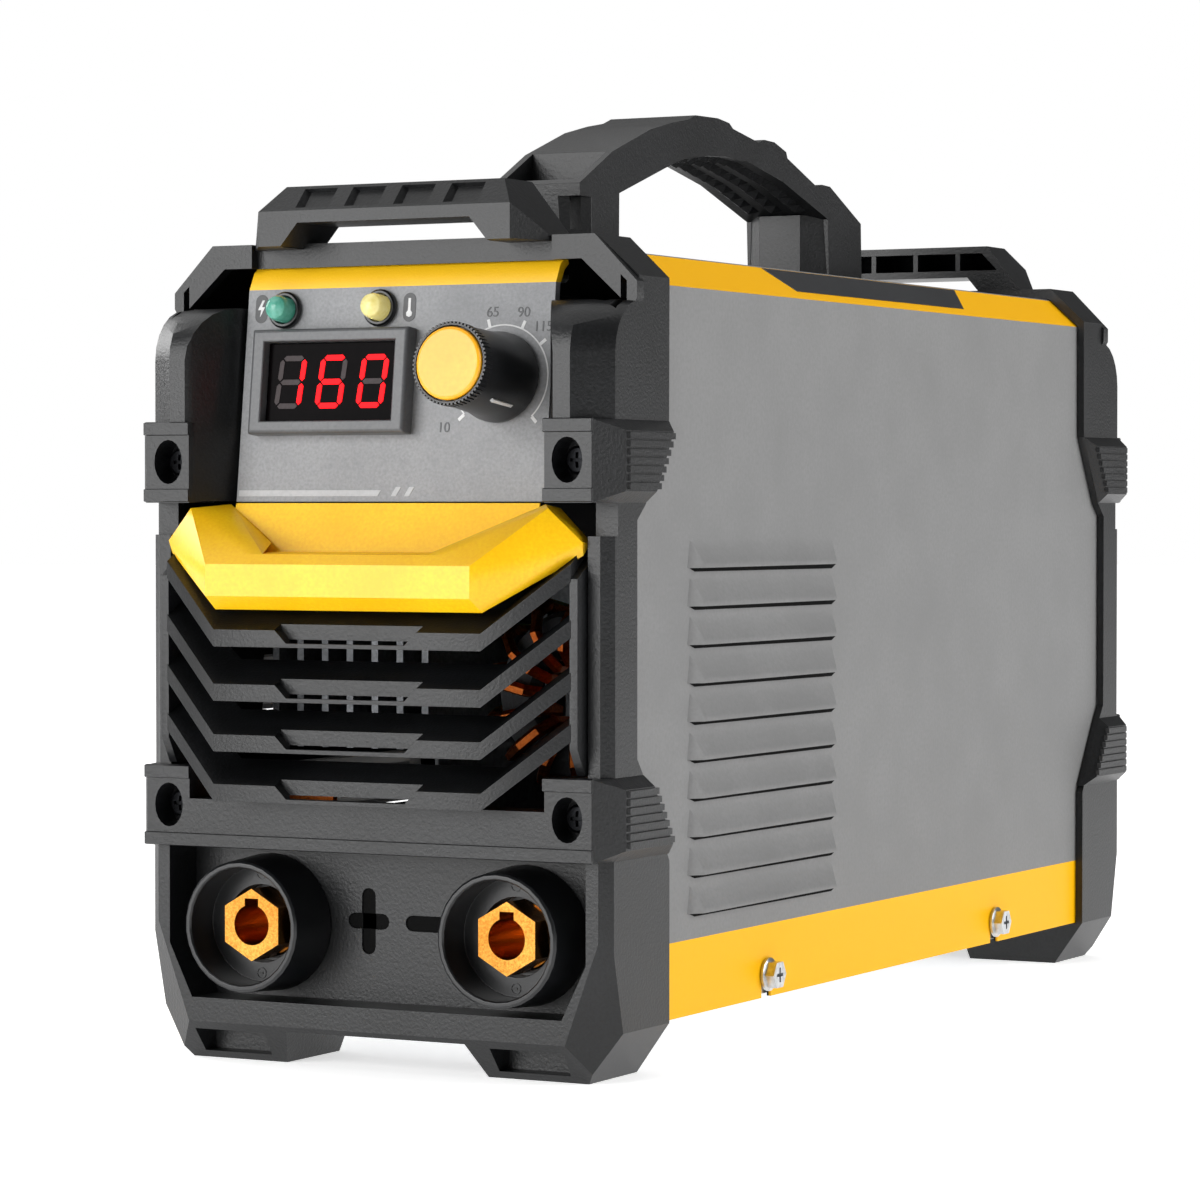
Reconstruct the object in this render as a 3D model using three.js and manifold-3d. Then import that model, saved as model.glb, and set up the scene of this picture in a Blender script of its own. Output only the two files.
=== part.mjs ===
// A portable stick welding inverter: two moulded end frames, a folded sheet cover on a
// base pan, a carry handle, a control panel with meter, lamps and current knob, two weld
// sockets, and the fan, boards, transformer and choke inside. Millimetres, +Z up. The
// front faces -Y and the origin is on the ground under the middle of the machine.
import * as THREE from 'three';
import { mergeVertices } from 'three/addons/utils/BufferGeometryUtils.js';
import { ConvexGeometry } from 'three/addons/geometries/ConvexGeometry.js';
import Module from 'manifold-3d';

const wasm = await Module();
wasm.setup();

// ---- driving dimensions ------------------------------------------------------------
const GAP = 0.3;              // clearance between touching pieces
const FRAME_PLANE = 184.5;    // front and rear corner plates stand this far from the middle
const FRAME_HALF = 69.5;      // half width over the sides of the end frames
const FRAME_DEPTH = 38.3;     // how far a frame reaches back from its corner plates
const FACET = { x: 60.3, d: 1, backX: 69.5, backD: 8.1 };
const STRIP = { inner: 63, outer: 66.5, d: 5.6, top: 139.7 };
const BAND = { half: 70.2, near: 18.6, far: 22.5 };
const ROOF_Z = 217;           // top of the end frames
const ROOF_CHAMFER_X = 58;
const ROOF_CHAMFER_Z = 204.6;
const BLOCK = { half: 72.7, d: 7.8, rib: 73.4 };
const SHELF_Z = 13.1;         // shelf of the frames that carries the cover
const HOLLOW = { half: 63.2, low: 57.9, top: 200.6 };
const COVER_HALF = 67;
const COVER_TOP = 213.4;
const COVER_EDGE = { x: 57.4, z: 204.6 };
const COVER_BOTTOM = 13.4;
const SHEET = 1.2;
const COVER_START = 12.8;     // depth behind the plates at which the cover sheet begins
const PAN = { half: 65.5, reach: 162, floor: 14.1, side: 30, end: 21 };
const PANEL_TILT = Math.atan2(56.4, 6.5);
const PANEL_FOOT = { d: 12.5, z: 148.5 };
const KNOB = { x: 32, z: 180.3, height: 28, cap: 9.4, waist: 10.3, base: 11.8 };
const METER = { x: -17.7, z: 179.75, width: 48, height: 27.9, proud: 5 };
const LAMP_X = [-34.5, -5.2];
const LAMP_Z = 199.2;
const SOCKET = { x: 38.65, z: 36.5, face: 1.3, wall: 17.5, radius: 17.4, base: 18.4, floor: 12, hex: 7 };
const MARK = { x: 8.75, z: 38, half: 2.1, across: 6.3, up: 8.8 };
const SCREW_X = 60;
const SCREW_Z = [68.2, 159];
const SIDE_SCREW_Y = [-82.6, 78.9];
const SIDE_SCREW_Z = 19.6;
const LOUVRE = { count: 10, first: 131.1, pitch: 10.1, from: -131.2, to: -39.2, high: 7.6, proud: 3 };
const GRILLE_TOPS = [115.2, 101, 87.8, 74.8];
const HANDLE = { y: -4.2, half: 14, screws: [-76, 89] };
const FAN = { near: 143.9, far: 168.9, z: 104, size: 92, bore: 43, hub: 14 };
const REAR_WALL = { front: 12.2, back: 15 };
const LINTEL_TOP = 211.7;     // the rear wall is closed up to here, under the roof band
const SWITCH = { x: 30, z: 178, wide: 28.2, high: 22, tilt: 12 };
const GLAND = { x: -38, z: 34, radius: 8.2 };
const CHOKE = { x: 34, y: -130, z: 97, ring: 17, section: 6, loop: 8.7, wire: 1.7, turns: 12, steps: 9 };
const CHIN_REACH = 13.6;      // how far the chin guard stands before the front plates
const GLAND_REACH = 7;        // how far the cable gland stands behind the rear plates

// ---- colours and finishes ----------------------------------------------------------
function finish(color, roughness, metalness) {
  return new THREE.MeshStandardMaterial({ color, roughness, metalness });
}

const blackPlastic = finish('#2b2b2d', 0.6, 0);
const yellowPlastic = finish('#f5bd1c', 0.35, 0);
const greyPlastic = finish('#6f7072', 0.5, 0);
const greyPaint = finish('#8f8f8f', 0.45, 0);
const panelGrey = finish('#8a8a8c', 0.55, 0);
const zincSteel = finish('#b4b6b8', 0.35, 0.9);
const brass = finish('#d9a441', 0.3, 1);
const copper = finish('#b5622c', 0.35, 1);
const aluminium = finish('#c9cbcd', 0.4, 0.9);
const boardGreen = finish('#1f5a3a', 0.5, 0);
const ferrite = finish('#3a3a3c', 0.7, 0);
const darkGlass = finish('#120808', 0.1, 0);
const greenLens = finish('#1f9d76', 0.2, 0);
const yellowLens = finish('#d8c640', 0.2, 0);
const sleeveBlack = finish('#16171a', 0.4, 0);
const bareSteel = finish('#9c9ea0', 0.4, 0.9);

// ---- shape helpers -----------------------------------------------------------------
function solid(geometry) {
  const bare = geometry.clone();
  bare.deleteAttribute('normal');
  bare.deleteAttribute('uv');
  const merged = mergeVertices(bare, 1e-4);
  return new wasm.Manifold(new wasm.Mesh({
    numProp: 3,
    vertProperties: new Float32Array(merged.attributes.position.array),
    triVerts: new Uint32Array(merged.index.array),
  }));
}

function meshOf(name, shape, material) {
  const raw = shape.getMesh();
  const geometry = new THREE.BufferGeometry();
  geometry.setAttribute('position', new THREE.BufferAttribute(new Float32Array(raw.vertProperties), 3));
  geometry.setIndex(new THREE.BufferAttribute(new Uint32Array(raw.triVerts), 1));
  const mesh = new THREE.Mesh(geometry, material);
  mesh.name = name;
  return mesh;
}

function union(shapes) {
  return shapes.reduce((all, next) => all.add(next));
}

function extruded(points, length) {
  const shape = new THREE.Shape(points.map(([u, v]) => new THREE.Vector2(u, v)));
  return new THREE.ExtrudeGeometry(shape, { depth: length, bevelEnabled: false });
}

// An outline of (x, z) points drawn out along Y.
function prismXZ(points, from, to) {
  const geometry = extruded(points, to - from);
  geometry.rotateX(Math.PI / 2);
  geometry.translate(0, to, 0);
  return solid(geometry);
}

// An outline of (y, z) points drawn out along X.
function prismYZ(points, from, to) {
  const geometry = extruded(points, to - from);
  geometry.rotateX(Math.PI / 2);
  geometry.rotateZ(Math.PI / 2);
  geometry.translate(from, 0, 0);
  return solid(geometry);
}

// An outline of (x, y) points drawn out along Z.
function prismXY(points, from, to) {
  const geometry = extruded(points, to - from);
  geometry.translate(0, 0, from);
  return solid(geometry);
}

function block(x0, x1, y0, y1, z0, z1) {
  const geometry = new THREE.BoxGeometry(x1 - x0, y1 - y0, z1 - z0);
  geometry.translate((x0 + x1) / 2, (y0 + y1) / 2, (z0 + z1) / 2);
  return solid(geometry);
}

function hull(points) {
  return solid(new ConvexGeometry(points.map(([x, y, z]) => new THREE.Vector3(x, y, z))));
}

function rod(radius, from, to, axis, a, b, sides = 32) {
  const geometry = new THREE.CylinderGeometry(radius, radius, to - from, sides);
  if (axis === 'x') {
    geometry.rotateZ(Math.PI / 2);
    geometry.translate((from + to) / 2, a, b);
  } else if (axis === 'y') {
    geometry.translate(a, (from + to) / 2, b);
  } else {
    geometry.rotateX(Math.PI / 2);
    geometry.translate(a, b, (from + to) / 2);
  }
  return solid(geometry);
}

// A lathe profile of (radius, height) points, turned about Z.
function turned(profile, sides = 32) {
  const geometry = new THREE.LatheGeometry(profile.map(([r, h]) => new THREE.Vector2(r, h)), sides);
  geometry.rotateX(Math.PI / 2);
  return solid(geometry);
}

function mirroredX(points) {
  const left = points.map(([x, z]) => [-x, z]).reverse();
  return points.concat(left);
}

function bothSides(make) {
  return make(1).add(make(-1));
}

function arc(cx, cy, radius, fromDegrees, toDegrees, steps) {
  return Array.from({ length: steps + 1 }, (_, i) => {
    const angle = THREE.MathUtils.degToRad(fromDegrees + (toDegrees - fromDegrees) * i / steps);
    return [cx + radius * Math.cos(angle), cy + radius * Math.sin(angle)];
  });
}

// Everything on the outer side of a plane through three points, as a large block.
function beyond(points, size = 60) {
  const plane = new THREE.Plane().setFromCoplanarPoints(...points.map((p) => new THREE.Vector3(...p)));
  const turn = new THREE.Quaternion().setFromUnitVectors(new THREE.Vector3(0, 0, 1), plane.normal);
  const geometry = new THREE.BoxGeometry(size, size, size);
  geometry.translate(0, 0, size / 2);
  geometry.applyQuaternion(turn);
  geometry.translate(...points[0]);
  return solid(geometry);
}

// A block from one x to another on the chosen side of the machine.
function sideBlock(side, near, far, y0, y1, z0, z1) {
  return block(Math.min(side * near, side * far), Math.max(side * near, side * far), y0, y1, z0, z1);
}

// ---- the two end frames ------------------------------------------------------------
// Both frames are drawn with y as the depth behind their own corner plates.
const outerOutline = mirroredX([
  [27, 9], [30.6, 0], [60, 0], [FRAME_HALF, 13.4], [FRAME_HALF, 206.2], [ROOF_CHAMFER_X, ROOF_Z],
]);

const pillarArc = arc(15, 186, 14, 180, 90, 6);

const sideOutline = [
  [12, 0], [FRAME_DEPTH, 0], [FRAME_DEPTH, 55.5], [23.6, 78.5], [20.2, 82.8], [20.2, 143.8], [25, 147.9],
  [38, 169.5], [FRAME_DEPTH, ROOF_Z], [19.7, ROOF_Z], [22, HOLLOW.top],
  ...pillarArc.slice().reverse(), [1, HOLLOW.low], [4.6, HOLLOW.low], [4.6, 10.4],
];

function coverRoom() {
  const wide = COVER_HALF + GAP;
  const room = [[wide, SHELF_Z], [wide, COVER_EDGE.z + 0.15], [COVER_EDGE.x + 0.15, COVER_TOP + GAP]];
  return prismXZ(mirroredX(room), COVER_START - GAP, 45);
}

// What is cut away in front of the raked facets at the sides of a frame.
function facetRoom(side) {
  const slope = (FACET.backD - FACET.d) / (FACET.backX - FACET.x);
  const high = prismXY([
    [side * FACET.x, -9], [side * FACET.x, FACET.d], [side * FACET.backX, FACET.backD],
    [side * 76, FACET.backD],
    [side * 76, -9],
  ], HOLLOW.low, 205);
  const low = prismXY([
    [side * 66.5, -9], [side * 66.5, 4.8], [side * FACET.backX, 7.4], [side * 76, 7.4], [side * 76, -9],
  ], -1, HOLLOW.low);
  const strip = sideBlock(side, 60, STRIP.outer, -9, STRIP.d, HOLLOW.low, 148.6);
  const recess = sideBlock(side, 60, 76, -9, 9.6, STRIP.top, 148.6);
  const overArc = extruded([[-12, 186], ...pillarArc, [15, 202], [-12, 202]], 76 - FACET.x);
  overArc.rotateX(Math.PI / 2);
  overArc.rotateZ(Math.PI / 2);
  overArc.applyMatrix4(new THREE.Matrix4().makeShear(slope, 0, 0, 0, 0, 0));
  overArc.translate(FACET.x, 0, 0);
  const corner = side > 0 ? solid(overArc) : solid(overArc).mirror([1, 0, 0]);
  return union([high, low, strip, recess, corner]);
}

function cornerFacet(side) {
  const points = [[side * 66.5, 4.8, 36], [side * 55.9, 3.96, 10.4], [side * 69.5, 10.3, 22.2]];
  return beyond(side > 0 ? points : [points[1], points[0], points[2]]);
}

function frameShell() {
  const { half, low, top } = HOLLOW;
  const chin = mirroredX([[55.9, 16.8], [62.9, 31], [62.9, low]]);
  return prismXZ(outerOutline, 0, FRAME_DEPTH)
    .intersect(prismYZ(sideOutline, -76, 76))
    .subtract(coverRoom())
    .subtract(block(-half, half, -5, 45, low, top))
    .subtract(prismXZ(chin, -5, 45))
    .subtract(bothSides(facetRoom))
    .subtract(bothSides(cornerFacet));
}

function roofBand() {
  const band = mirroredX([[54.2, 210.7], [68.6, 197.6], [BAND.half, 200.4], [BAND.half, ROOF_CHAMFER_Z],
    [ROOF_CHAMFER_X, ROOF_Z]]);
  return prismXZ(band, BAND.near, BAND.far);
}

// Raised bumper bar across the roof: slotted for a finger or a strap, hollow behind.
function guardBar() {
  const bar = hull([-1, 1].flatMap((s) => [
    [s * 38, 10, 215.8], [s * 38, 10, 225], [s * 33, 16.2, 231.8], [s * 33, 31, 231.8],
    [s * 46, 31, 215.5], [s * 46, 21, 215.5], [s * 38, 12, 215.5],
  ]));
  const slot = prismXZ([[-31.1, 213], [31.1, 213], [31.1, 215.8], [26, 221.8], [-26, 221.8],
    [-31.1, 215.8]], 5, 40);
  const hollowBack = hull([-1, 1].flatMap((s) => [
    [s * 34.5, 15.5, 224], [s * 31, 17.8, 229.6], [s * 31, 32, 229.6], [s * 36.5, 32, 224],
    [s * 34.5, 14.5, 223.9],
  ]));
  const ribs = [-22.5, -7.5, 7.5, 22.5].map((x) => block(x - 0.8, x + 0.8, 16, 30.6, 222.6, 230.8));
  const pads = [-22.4, -7.5, 7.4, 22.3].map((x) => hull([
    [x - 5.7, 9.6, 226.2], [x + 5.7, 9.6, 226.2], [x + 5.7, 14.6, 231.9], [x - 5.7, 14.6, 231.9],
    [x - 3, 12.2, 225.2], [x + 5.7, 12.2, 225.2], [x + 5.7, 16.4, 230], [x - 3, 16.4, 230],
  ]));
  return bar.subtract(slot).subtract(hollowBack).add(union(ribs)).subtract(union(pads));
}

// Corner block: a raised ribbed pad with chamfers all round it.
function cornerBlock(side, low, high, rearLow, rearHigh) {
  const reach = (z) => rearLow + (rearHigh - rearLow) * (z - low) / (high - low);
  const base = [low, high].flatMap((z) => [
    [53.5, 0, z], [67, 0, z], [FRAME_HALF, BLOCK.d, z], [FRAME_HALF, reach(z), z],
    [62, reach(z), z], [53.5, 9, z],
  ]);
  const pad = [low + 2.9, high - 2.8].flatMap((z) => [[BLOCK.half, BLOCK.d, z],
    [BLOCK.half, reach(z) - 1.8, z]]);
  const body = hull([...base, ...pad].map(([x, y, z]) => [side * x, y, z]));
  const ribs = Array.from({ length: 7 }, (_, i) => {
    const z = low + 4.2 + i * (high - low - 8.2) / 6;
    const front = BLOCK.d + 0.6;
    const back = reach(z) - 1;
    return hull([z - 0.8, z + 0.8].flatMap((at) => [
      [side * (BLOCK.half - 0.4), front, at], [side * (BLOCK.half - 0.4), back, at],
      [side * BLOCK.rib, front + 0.6, at], [side * BLOCK.rib, back - 0.3, at],
    ]));
  });
  return body.add(union(ribs));
}

function frontBar(from, to, low) {
  return hull([
    [from, 0.4, low - 0.3], [to, 0.4, low - 0.3], [from, -0.8, low], [to, -0.8, low],
    [from, 0.4, low + 3.4], [to, 0.4, low + 3.4], [from, -0.8, low + 3.1], [to, -0.8, low + 3.1],
  ]);
}

function pillar(side) {
  const column = prismXY([
    [side * 47.8, 14.5], [side * 54, 2.4], [side * 55.4, FACET.d], [side * FACET.x, FACET.d],
    [side * 68.9, 7.7],
    [side * 68.9, 11.6], [side * 65.4, 13], [side * 65.4, 24], [side * 63.5, 24], [side * 63.5, 14],
    [side * 50.5, 15], [side * 50.5, 24], [side * 47.8, 24],
  ], 148.6, HOLLOW.top - 0.1);
  const overTop = prismYZ([[-5, 186], ...pillarArc, [30, 200.1], [30, 202], [-5, 202]], -76, 76);
  return column.subtract(overTop).subtract(facetRoom(side));
}

function sideStrip(side) {
  return prismXY([
    [side * STRIP.inner, 12.2], [side * STRIP.inner, STRIP.d], [side * STRIP.outer, STRIP.d],
    [side * 68.9, 7.8],
    [side * 68.9, 11.6], [side * 65.4, 13],
  ], 78, STRIP.top);
}

function screwBoss(side, z) {
  return rod(6.2, 3, 22, 'y', side * SCREW_X, z, 14);
}

function screwHole(side, z) {
  const socket = new THREE.CylinderGeometry(4.4, 4.4, 16, 20);
  socket.scale(1, 1, 11.7 / 8.8);
  socket.translate(side * SCREW_X, 0, z);
  return solid(socket).add(rod(2.3, 7, 30, 'y', side * SCREW_X, z, 10));
}

function footPocket(side) {
  return hull([
    [side * 34, 5, 1.6], [side * 56, 5, 1.6], [side * 34, 5, 8.4], [side * 56, 5, 8.4],
    [side * 35, 15, 2.2], [side * 55, 15, 2.2], [side * 35, 15, 7.4], [side * 55, 15, 7.4],
  ]);
}

function commonFrame() {
  const corners = [1, -1].flatMap((s) => [
    cornerBlock(s, 148.2, 169.3, 25, 38),
    cornerBlock(s, 57.4, 78.6, 37.9, 23.6),
    pillar(s),
    sideStrip(s),
    ...SCREW_Z.map((z) => screwBoss(s, z)),
  ]);
  const bars = [1, -1].flatMap((s) => {
    const [from, to] = s > 0 ? [53.3, 67.3] : [-67.3, -53.3];
    return [frontBar(from, to, 166.2), frontBar(from, to, 148.6), frontBar(from, to, 75.4)];
  });
  const roofNotch = block(-45.6, 45.6, 15, 21.4, 205, 218);
  const sheetRoom = coverRoom().intersect(bothSides((s) => sideBlock(s, 65.5, 76, 0, 45, 0, 230)));
  return frameShell().add(roofBand()).subtract(roofNotch).add(union([guardBar(), ...corners, ...bars]))
    .subtract(sheetRoom)
    .subtract(bothSides(footPocket));
}

function screwHoles() {
  return union([1, -1].flatMap((s) => SCREW_Z.map((z) => screwHole(s, z))));
}

function stadium(cx, cz, halfLong, halfWide, upright) {
  const reach = halfLong - halfWide;
  const ends = [...arc(reach, 0, halfWide, -90, 90, 6), ...arc(-reach, 0, halfWide, 90, 270, 6)];
  return ends.map(([u, v]) => (upright ? [cx - v, cz + u] : [cx + u, cz + v]));
}

// The front frame adds the socket wall, the band under the grille and the polarity marks.
function frontFrame() {
  const { wall: back } = SOCKET;
  const wall = prismXZ(mirroredX([[57, 13.5], [65.3, 30], [65.3, 58]]), 8, back + 2)
    .subtract(prismXZ(mirroredX([[55.9, 16.8], [62.9, 31], [62.9, 60]]), 0, back));
  const band = prismYZ([[0, 57.9], [back + 2, 57.9], [back + 2, 61], [12, 61], [12, 70], [0, 70]], -62, 62);
  const marks = union([
    prismXZ(stadium(-MARK.x, MARK.z, MARK.across, MARK.half, false), back - 1, back + 0.9),
    prismXZ(stadium(-MARK.x, MARK.z, MARK.up, MARK.half, true), back - 1, back + 0.9),
    prismXZ(stadium(MARK.x, MARK.z, MARK.across, MARK.half, false), back - 1, back + 0.9),
  ]);
  const bores = [1, -1].map((s) => rod(12.4, 10, 30, 'y', s * SOCKET.x, SOCKET.z, 40));
  return commonFrame().add(wall).add(band).add(frontBar(-67.3, 67.3, 57.6)).subtract(marks)
    .subtract(union(bores))
    .subtract(screwHoles());
}

// The rear frame is closed by a wall with the fan opening, the switch and the cable entry.
function rearFrame() {
  const { front: near, back } = REAR_WALL;
  const wall = block(-63.5, 63.5, near, back, 13.5, 200.4);
  const lintel = prismXZ(mirroredX([[63, 200], [63, 203], [54.2, LINTEL_TOP]]), near, back)
    .add(block(-54, 54, near, BAND.far - 0.5, LINTEL_TOP - 2, LINTEL_TOP));
  const sides = bothSides((s) => sideBlock(s, 62.5, 65.4, 10, back, 32, 200));
  const bars = [-1, 1].map((s) => frontBar(s > 0 ? 53.3 : -67.3, s > 0 ? 67.3 : -53.3, 57.6));
  const { x, z, wide, high } = SWITCH;
  const openings = union([
    rod(FAN.bore, 5, 20, 'y', 0, FAN.z, 40),
    block(-x - wide / 2, -x + wide / 2, 5, 20, z - high / 2, z + high / 2),
    rod(GLAND.radius, 5, 20, 'y', -GLAND.x, GLAND.z, 24),
  ]);
  return commonFrame().add(wall).add(lintel).add(sides).add(union(bars)).subtract(openings)
    .subtract(screwHoles());
}

// ---- pieces on the front -----------------------------------------------------------
// One louver blade: a centre span and two wings that rake back and up.
function louverBlade(z) {
  const section = (x, y, top, back, rise) => [
    [x, y, top - 4.5], [x, y, top], [x, back, top + rise], [x, back, top + rise - 2.4],
  ];
  const centre = hull([...section(-40, -9, z, 4.5, 6), ...section(40, -9, z, 4.5, 6)]);
  const wing = (s) => hull([...section(s * 40, -9, z, 4.5, 6), ...section(s * 60.8, 0.5, z + 17.6, 9,
    4.6)]);
  const notch = prismXZ([[-17.7, z - 3.4], [17.7, z - 3.4], [21.3, z + 0.1], [21.3, z + 2], [-21.3, z + 2],
    [-21.3, z + 0.1]], -10, -5.6);
  return union([centre, wing(1), wing(-1)]).subtract(notch);
}

function frontGrille() {
  const rail = (s) => prismYZ([[0.6, 86], [0.6, 129], [9.2, 134.4], [9.2, 79.2], [4.5, 79.2]],
    Math.min(s * 60.4, s * 62.7), Math.max(s * 60.4, s * 62.7));
  return union([...GRILLE_TOPS.map(louverBlade), rail(1), rail(-1)]);
}

// Yellow bumper under the panel: a crossbar, two raked horns and the sloped plate between.
function chinGuard() {
  const bar = hull([-1, 1].flatMap((s) => [
    [s * 39.5, -13.6, 132.3], [s * 39.5, -13.6, 124], [s * 40, -8, 120.4], [s * 40, 3, 123.4],
    [s * 28, 4.5, 135.4], [s * 30, -10, 134.9],
  ]));
  const horn = (s) => hull([
    [s * 39.5, -13.6, 132.3], [s * 39.5, -13.6, 124], [s * 40, -8, 120.4], [s * 40, 2, 123.4],
    [s * 62.4, 3.8, 138.2], [s * 62, 5, 134.8], [s * 53.8, 1.4, 146.8], [s * 47.6, 11.5, 147.8],
    [s * 61, 11.5, 138], [s * 52, 11.5, 146.8], [s * 31.3, 5.6, 137.7], [s * 24.4, -9.6, 134.9],
  ]);
  const plate = prismYZ([[5.4, 133], [6.3, 135.4], [11.5, 148.1], [12.6, 148.1], [9.4, 133]], -46, 46);
  const topBlade = GRILLE_TOPS[0];
  return union([bar, horn(1), horn(-1), plate])
    .subtract(block(-70, 70, 11.8, 30, 100, 160))
    .subtract(louverBlade(topBlade + 0.4))
    .subtract(louverBlade(topBlade - 0.6));
}

// Pieces on the sloped panel are drawn flat, with z as the height above the panel face.
function onPanel(x, z) {
  const along = (z - PANEL_FOOT.z) / Math.sin(PANEL_TILT);
  const group = new THREE.Group();
  group.position.set(x, PANEL_FOOT.d + along * Math.cos(PANEL_TILT), z);
  group.rotation.x = PANEL_TILT;
  return group;
}

function controlPanel() {
  const section = [[0, 0], [0, -2.4], [56.5, -2.4], [60.5, -4.2], [62.6, -6.5], [64.4, -5],
    [61.7, -1.9], [56.8, 0]];
  const plate = prismYZ(section.reverse(), -46.6, 46.6);
  const meterHeight = (METER.z - PANEL_FOOT.z) / Math.sin(PANEL_TILT);
  const lampHeight = (LAMP_Z - PANEL_FOOT.z) / Math.sin(PANEL_TILT);
  const knobHeight = (KNOB.z - PANEL_FOOT.z) / Math.sin(PANEL_TILT);
  const meterHole = block(METER.x - 22.6, METER.x + 22.6, meterHeight - 12.6, meterHeight + 12.6, -9, 9);
  const lampHoles = LAMP_X.map((x) => rod(4, -9, 9, 'z', x, lampHeight, 24));
  return plate.subtract(meterHole).subtract(union(lampHoles))
    .subtract(rod(4.8, -9, 9, 'z', KNOB.x, knobHeight, 24));
}

function meterBezel() {
  const { width, height, proud } = METER;
  const frame = hull([-1, 1].flatMap((s) => [-1, 1].flatMap((t) => [
    [s * width / 2, t * height / 2, GAP], [s * width / 2, t * height / 2, proud - 0.7],
    [s * (width / 2 - 0.7), t * (height / 2 - 0.7), proud],
  ])));
  return frame.subtract(block(-20.1, 20.1, -10.6, 10.6, -1, 9));
}

function knobBody() {
  const { height, waist, base } = KNOB;
  return turned([[0, height - 7.7], [3.2, height - 7.7], [3.2, 6], [7.2, 6], [7.2, 1.2],
    [base, 1.2], [base, 2.8],
    [10.9, 8], [waist, height - 1], [9.75, height - 1], [9.75, height - 3.2], [0, height - 3.2]], 32);
}

function knobCap() {
  const { height, cap } = KNOB;
  return turned([[0, height - 2.9], [cap, height - 2.9], [cap, height - 0.7],
    [cap - 0.5, height - 0.2], [0, height]],
    32);
}

function lampLens() {
  const dome = arc(0, 4.6, 3.4, 0, 90, 3).map(([r, h]) => [r, 4.6 + (h - 4.6) * 0.75]);
  return turned([[0, -8], [2.6, -8], [2.6, -3], [3.4, -3], ...dome.slice(0, -1), [0, 7.15]], 20);
}

function lampRing() {
  return turned([[3.8, GAP], [4.95, GAP], [4.95, 1.2], [4.5, 1.8], [3.8, 1.8], [3.8, GAP]], 24);
}

function potentiometer() {
  return turned([[0, -14], [8, -14], [8, -2.8], [4.4, -2.8], [4.4, 5], [0, 5]], 20);
}

// Sockets are drawn about their own axis with z pointing out of the machine.
function socketHousing() {
  const { radius, base } = SOCKET;
  const face = -SOCKET.face;
  const floor = -SOCKET.floor;
  const back = GAP - SOCKET.wall;
  return turned([
    [9, -28], [12.1, -28], [12.1, back], [base, back], [radius, face - 0.6], [radius - 0.6, face],
    [radius - 1.5, face], [radius - 1.9, face - 0.5], [radius - 1.9, floor], [10.4, floor],
    [10.4, back - 0.1],
    [9, back - 0.1], [9, -28],
  ], 30);
}

function socketInsert() {
  const head = rod(9.6, -17, -SOCKET.hex, 'z', 0, 0, 6);
  const barrel = rod(8.6, -36, -16.9, 'z', 0, 0, 32);
  const key = block(-2.1, 2.1, 0, 7, -24, 0);
  return head.add(barrel).subtract(rod(5.4, -32, 0, 'z', 0, 0, 32)).subtract(key);
}

function socketNut() {
  return rod(13.9, -33.4, -28.4, 'z', 0, 0, 6).subtract(rod(9, -40, 0, 'z', 0, 0, 28));
}

// Flat copper bar from the back of a socket up to the power board.
function busbar(side) {
  const low = SOCKET.z - 8;
  const section = side > 0
    ? [[36.4, low], [38.4, low], [38.4, 66], [36.4, 66]]
    : [[36.4, low], [38.4, low], [38.4, 72], [66, 72], [66, 74], [36.4, 74]];
  const from = side * SOCKET.x - 7.5;
  return prismYZ(section, from, from + 15);
}

// ---- fasteners ---------------------------------------------------------------------
function crossRecess(top, depth) {
  const arm = (x, y) => block(-x, x, -y, y, top - depth, top + 1);
  return arm(0.45, 2).add(arm(2, 0.45));
}

// Pan-head screw along +Z with the underside of its head at z = 0.
function panScrew(length) {
  return turned([[0, -length], [2, -length], [2, 0], [3.8, 0], [3.8, 1.2], [3, 2.1], [0, 2.5]], 14)
    .subtract(crossRecess(2.5, 1.3));
}

function flangeScrew() {
  const washer = turned([[0, -9], [2, -9], [2, 0], [4.6, 0], [4.6, 0.7], [3.7, 1.1], [0, 1.1]], 18);
  const head = rod(3.98, 1, 3.7, 'z', 0, 0, 6);
  return washer.add(head).subtract(crossRecess(3.7, 1.6));
}

// ---- cover, pan and handle ---------------------------------------------------------
function louvreHood(side, z, shrink) {
  const { from, to, high, proud } = LOUVRE;
  const out = COVER_HALF + proud - shrink;
  const wall = COVER_HALF - 0.1 - shrink * 3;
  return hull([
    [wall, from + shrink, z + shrink * 0.2], [wall, to - shrink, z + shrink * 0.2],
    [wall, from + 1.5 + shrink, z + high - shrink], [wall, to - 1.5 - shrink, z + high - shrink],
    [out, from + 4, z + shrink * 0.2], [out, to - 4, z + shrink * 0.2],
    [out, from + 5, z + 1.6 - shrink * 0.4], [out, to - 5, z + 1.6 - shrink * 0.4],
  ].map(([x, y, h]) => [side * x, y, h]));
}

function louvreMouth(side, z) {
  const { from, to, proud } = LOUVRE;
  const x = [side * (COVER_HALF - 2), side * (COVER_HALF + proud - 0.8)];
  return block(Math.min(...x), Math.max(...x), from + 4, to - 4, z - 0.2, z + 1);
}

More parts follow.
